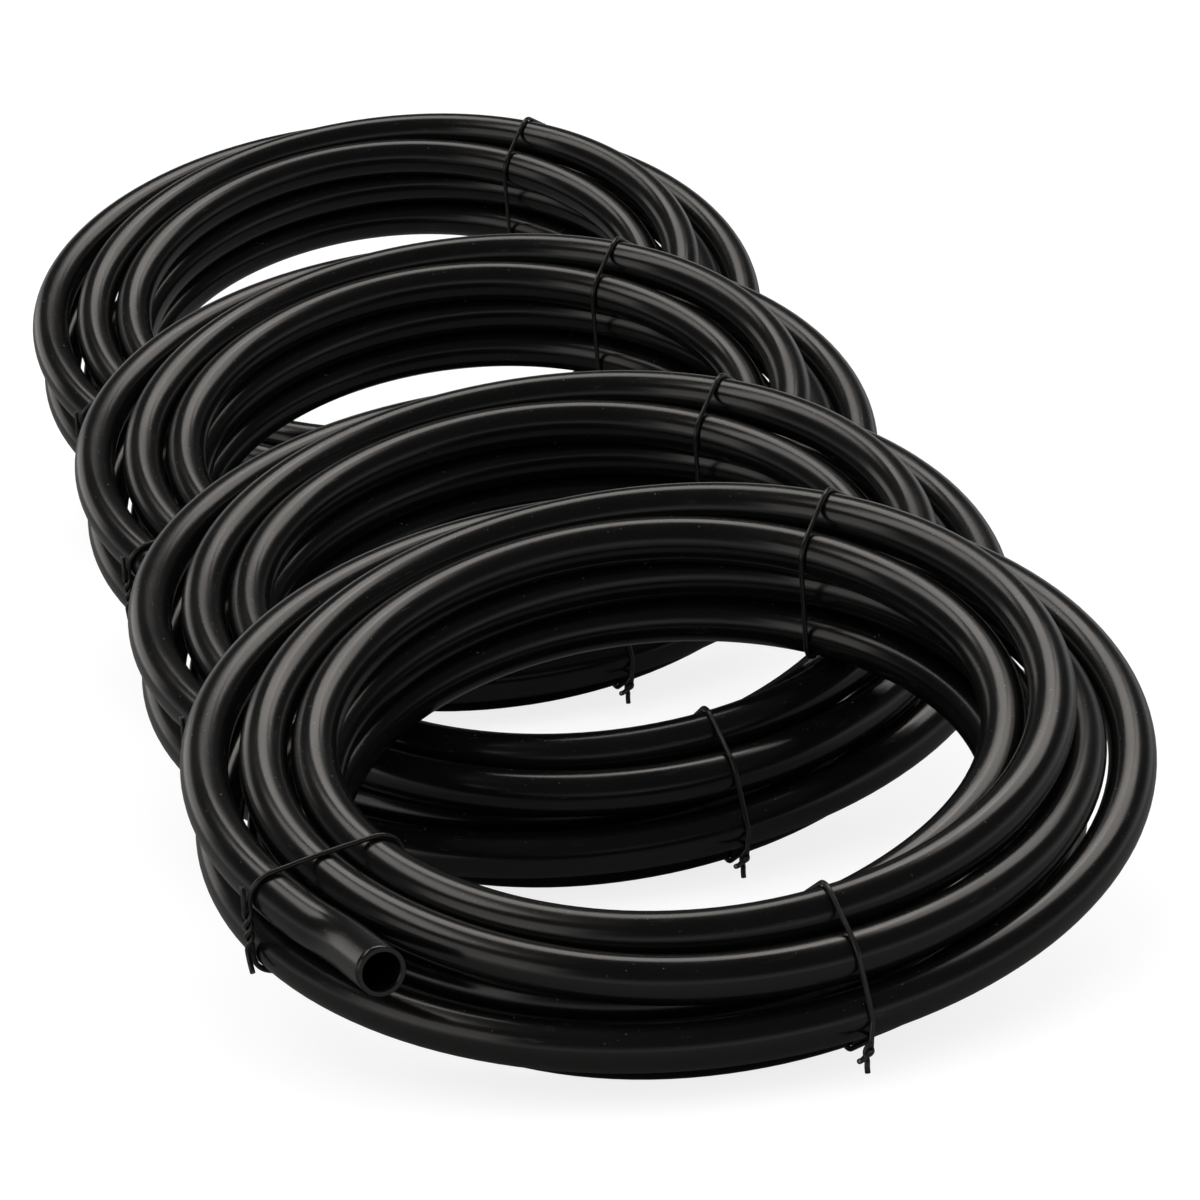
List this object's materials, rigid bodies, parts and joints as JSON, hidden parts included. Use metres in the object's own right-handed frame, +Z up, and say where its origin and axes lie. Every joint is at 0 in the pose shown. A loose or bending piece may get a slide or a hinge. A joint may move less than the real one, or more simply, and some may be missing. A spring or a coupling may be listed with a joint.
{
  "type": "coiled irrigation hose",
  "caption": "Row of tied coils of black plastic irrigation hose, each leaning on the one behind, with wire ties and one open end per coil.",
  "frame": {"origin": "middle of the flat foot under the front coil, on the floor", "axes": "+X to the right, +Y back along the row of coils, +Z up"},
  "size_m": [0.4199, 0.9494, 0.1423],
  "materials": {
    "hose": "smooth black polyethylene with a soft gloss",
    "tie_jacket": "black plastic coating, satin",
    "tie_wire": "soft drawn steel wire"
  },
  "bodies": {
    "coil_1": {"coil_1_hose": "hose", "coil_1_left_tie_jacket": "tie_jacket", "coil_1_left_tie_wire": "tie_wire", "coil_1_right_tie_jacket": "tie_jacket", "coil_1_right_tie_wire": "tie_wire", "coil_1_back_tie_jacket": "tie_jacket", "coil_1_back_tie_wire": "tie_wire"},
    "coil_2": {"coil_2_hose": "hose", "coil_2_left_tie_jacket": "tie_jacket", "coil_2_left_tie_wire": "tie_wire", "coil_2_right_tie_jacket": "tie_jacket", "coil_2_right_tie_wire": "tie_wire", "coil_2_back_tie_jacket": "tie_jacket", "coil_2_back_tie_wire": "tie_wire"},
    "coil_3": {"coil_3_hose": "hose", "coil_3_left_tie_jacket": "tie_jacket", "coil_3_left_tie_wire": "tie_wire", "coil_3_right_tie_jacket": "tie_jacket", "coil_3_right_tie_wire": "tie_wire", "coil_3_back_tie_jacket": "tie_jacket", "coil_3_back_tie_wire": "tie_wire"},
    "coil_4": {"coil_4_hose": "hose", "coil_4_left_tie_jacket": "tie_jacket", "coil_4_left_tie_wire": "tie_wire", "coil_4_right_tie_jacket": "tie_jacket", "coil_4_right_tie_wire": "tie_wire", "coil_4_back_tie_jacket": "tie_jacket", "coil_4_back_tie_wire": "tie_wire"}
  },
  "joints": [
    {"name": "lift_coil_3", "type": "slide", "parent": "coil_4", "child": "coil_3", "axis": [0, 0, 1], "range_m": [0, 0.3]},
    {"name": "lift_coil_2", "type": "slide", "parent": "coil_3", "child": "coil_2", "axis": [0, 0, 1], "range_m": [0, 0.3]},
    {"name": "lift_coil_1", "type": "slide", "parent": "coil_2", "child": "coil_1", "axis": [0, 0, 1], "range_m": [0, 0.3]}
  ]
}
